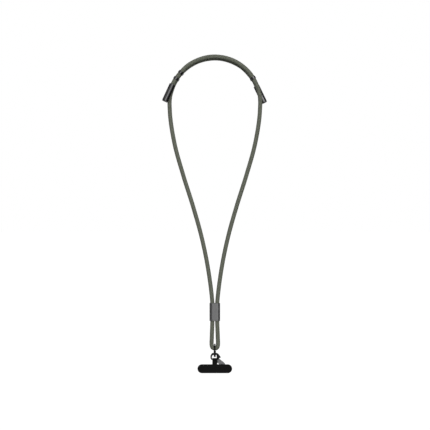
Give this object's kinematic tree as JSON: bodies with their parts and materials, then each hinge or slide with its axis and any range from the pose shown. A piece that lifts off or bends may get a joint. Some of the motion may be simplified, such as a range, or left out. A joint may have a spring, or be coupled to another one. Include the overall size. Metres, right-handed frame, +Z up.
{
  "type": "charging cable lanyard",
  "caption": "Braided charging cable worn round the neck as a long loop, with metal end sleeves, keeper bands, a slider sleeve and a swivel clasp that carries a flat phone tab.",
  "frame": {"origin": "underside of the cable at the top of the arc, where the back of the wearer's neck carries the loop", "axes": "+Z up along the hanging loop, +X to the viewer's right across the loop, +Y away from the viewer"},
  "size_m": [0.1818, 0.0216, 0.5521],
  "materials": {
    "cable_braid": "fine braided polyester, olive grey, matt",
    "gunmetal": "gunmetal plating, smooth and glossy",
    "slider_metal": "gunmetal plating, satin",
    "bright_steel": "bright nickel-plated steel",
    "black_plastic": "black moulded plastic, satin",
    "tab_plastic": "black flexible tab, fine matt texture"
  },
  "bodies": {
    "root": {"cable_front_arc": "cable_braid", "cable_right_arm": "cable_braid", "cable_right_leg": "cable_braid", "cable_bight": "cable_braid", "cable_left_leg": "cable_braid", "cable_left_arm": "cable_braid", "cable_back_arc": "cable_braid", "left_end_sleeve": "gunmetal", "right_end_sleeve": "gunmetal", "left_end_stopper": "black_plastic", "right_end_stopper": "black_plastic", "keeper_band_left_lower": "gunmetal", "keeper_band_left_upper": "gunmetal", "keeper_band_right": "gunmetal", "slider_sleeve": "slider_metal"},
    "swivel": {"swivel_ring": "gunmetal"},
    "clasp": {"clasp_body": "gunmetal"},
    "lever": {"clasp_lever": "bright_steel"},
    "tab": {"phone_tab": "tab_plastic"}
  },
  "joints": [
    {"name": "ring_swing", "type": "hinge", "parent": "root", "child": "swivel", "pos_m": [0, 0, -0.4992], "axis": [1, 0, 0], "range_deg": [-90, 90]},
    {"name": "clasp_swivel", "type": "hinge", "parent": "swivel", "child": "clasp", "pos_m": [0, 0, -0.5098], "axis": [0, 0, 1], "continuous": true},
    {"name": "lever_hinge", "type": "hinge", "parent": "clasp", "child": "lever", "pos_m": [0.0048, 0, -0.5105], "axis": [0, 1, 0], "range_deg": [0, 25], "stiffness_Nm_per_rad": 0.01, "springref_deg": -17.19},
    {"name": "tab_swing", "type": "hinge", "parent": "clasp", "child": "tab", "pos_m": [0, 0, -0.51855], "axis": [1, 0, 0], "range_deg": [-80, 4]}
  ]
}
